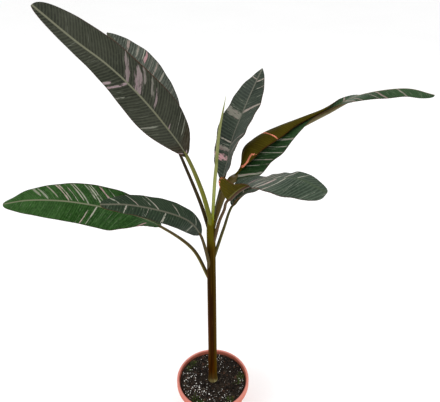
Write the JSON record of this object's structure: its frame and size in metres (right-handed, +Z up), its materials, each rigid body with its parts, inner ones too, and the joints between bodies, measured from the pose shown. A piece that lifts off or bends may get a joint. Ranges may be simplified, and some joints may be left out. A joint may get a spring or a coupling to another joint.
{
  "type": "potted banana plant",
  "caption": "Young pink-variegated banana plant with long striped leaves on one upright stem, growing in soil in a round tapered nursery pot.",
  "frame": {"origin": "centre of the pot's flat underside", "axes": "+Z up along the stem, +X towards the long arching leaf, -Y towards the side that the pictured view looks from"},
  "size_m": [0.7332, 0.2977, 0.8109],
  "materials": {
    "pot": "terracotta-coloured injection-moulded plastic, slightly scuffed",
    "soil": "dark moist peat and bark mix with white perlite grains",
    "stem": "smooth fibrous leaf sheaths, maroon-brown turning olive upwards",
    "leaf": "satin dark green blade with fine cross veins and pink-white streaks, olive-bronze underside",
    "rolled_leaf": "satin olive-green rolled leaf"
  },
  "bodies": {
    "root": {"nursery_pot": "pot", "potting_soil": "soil", "pseudostem": "stem", "leaf_1_low_left": "leaf", "leaf_2_left": "leaf", "leaf_3_small_right": "leaf", "leaf_4_back_left": "leaf", "leaf_5_cupped_right": "leaf", "leaf_6_upright": "leaf", "leaf_7_long_right": "leaf", "leaf_8_top_left": "leaf", "leaf_9_rolled": "rolled_leaf"}
  },
  "joints": []
}
